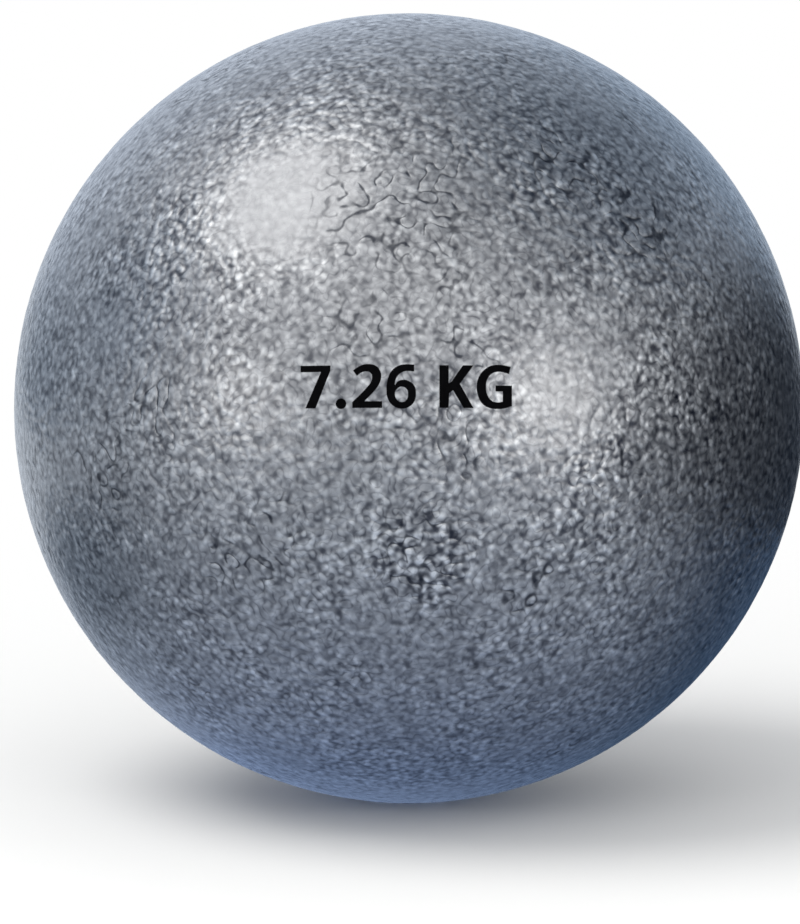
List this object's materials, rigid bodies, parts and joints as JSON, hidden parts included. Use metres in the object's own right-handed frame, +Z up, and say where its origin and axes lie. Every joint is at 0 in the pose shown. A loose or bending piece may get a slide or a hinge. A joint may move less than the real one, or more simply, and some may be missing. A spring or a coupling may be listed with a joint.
{
  "type": "shot put",
  "caption": "Painted iron throwing ball of 7.26 kg. A screwed plug with a hexagon socket closes the chamber of lead discs that trim its mass.",
  "frame": {"origin": "the ball's centre", "axes": "+Z up as the picture shows the ball, +Y along the plug's axis and out of the ball, away from the weight mark, +X to the right of the weight mark"},
  "size_m": [0.125, 0.1246, 0.125],
  "materials": {
    "ball_paint": "glossy silver-grey hammertone paint over turned grey iron, with fine pebbled relief",
    "plug_steel": "turned bright steel",
    "seal_copper": "soft copper, lightly tarnished",
    "packing_cork": "pressed cork, matt",
    "trim_lead": "dull grey lead sheet"
  },
  "bodies": {
    "ball": {"iron_ball": "ball_paint", "packing_disc": "packing_cork", "lead_disc_1": "trim_lead", "lead_disc_2": "trim_lead", "lead_disc_3": "trim_lead", "lead_disc_4": "trim_lead", "lead_disc_5": "trim_lead", "lead_disc_6": "trim_lead"},
    "ring": {"seal_ring": "seal_copper"},
    "plug": {"screw_plug": "plug_steel"}
  },
  "joints": [
    {"name": "plug_travel", "type": "slide", "parent": "ball", "child": "ring", "axis": [0, 1, 0], "range_m": [0, 0.015]},
    {"name": "plug_turn", "type": "hinge", "parent": "ring", "child": "plug", "pos_m": [0, 0, 0], "axis": [0, 1, 0], "range_deg": [0, 1800]}
  ],
  "couplings": [
    {"joint": "plug_travel", "follows": "plug_turn", "m_per_rad": 0.00047746}
  ]
}
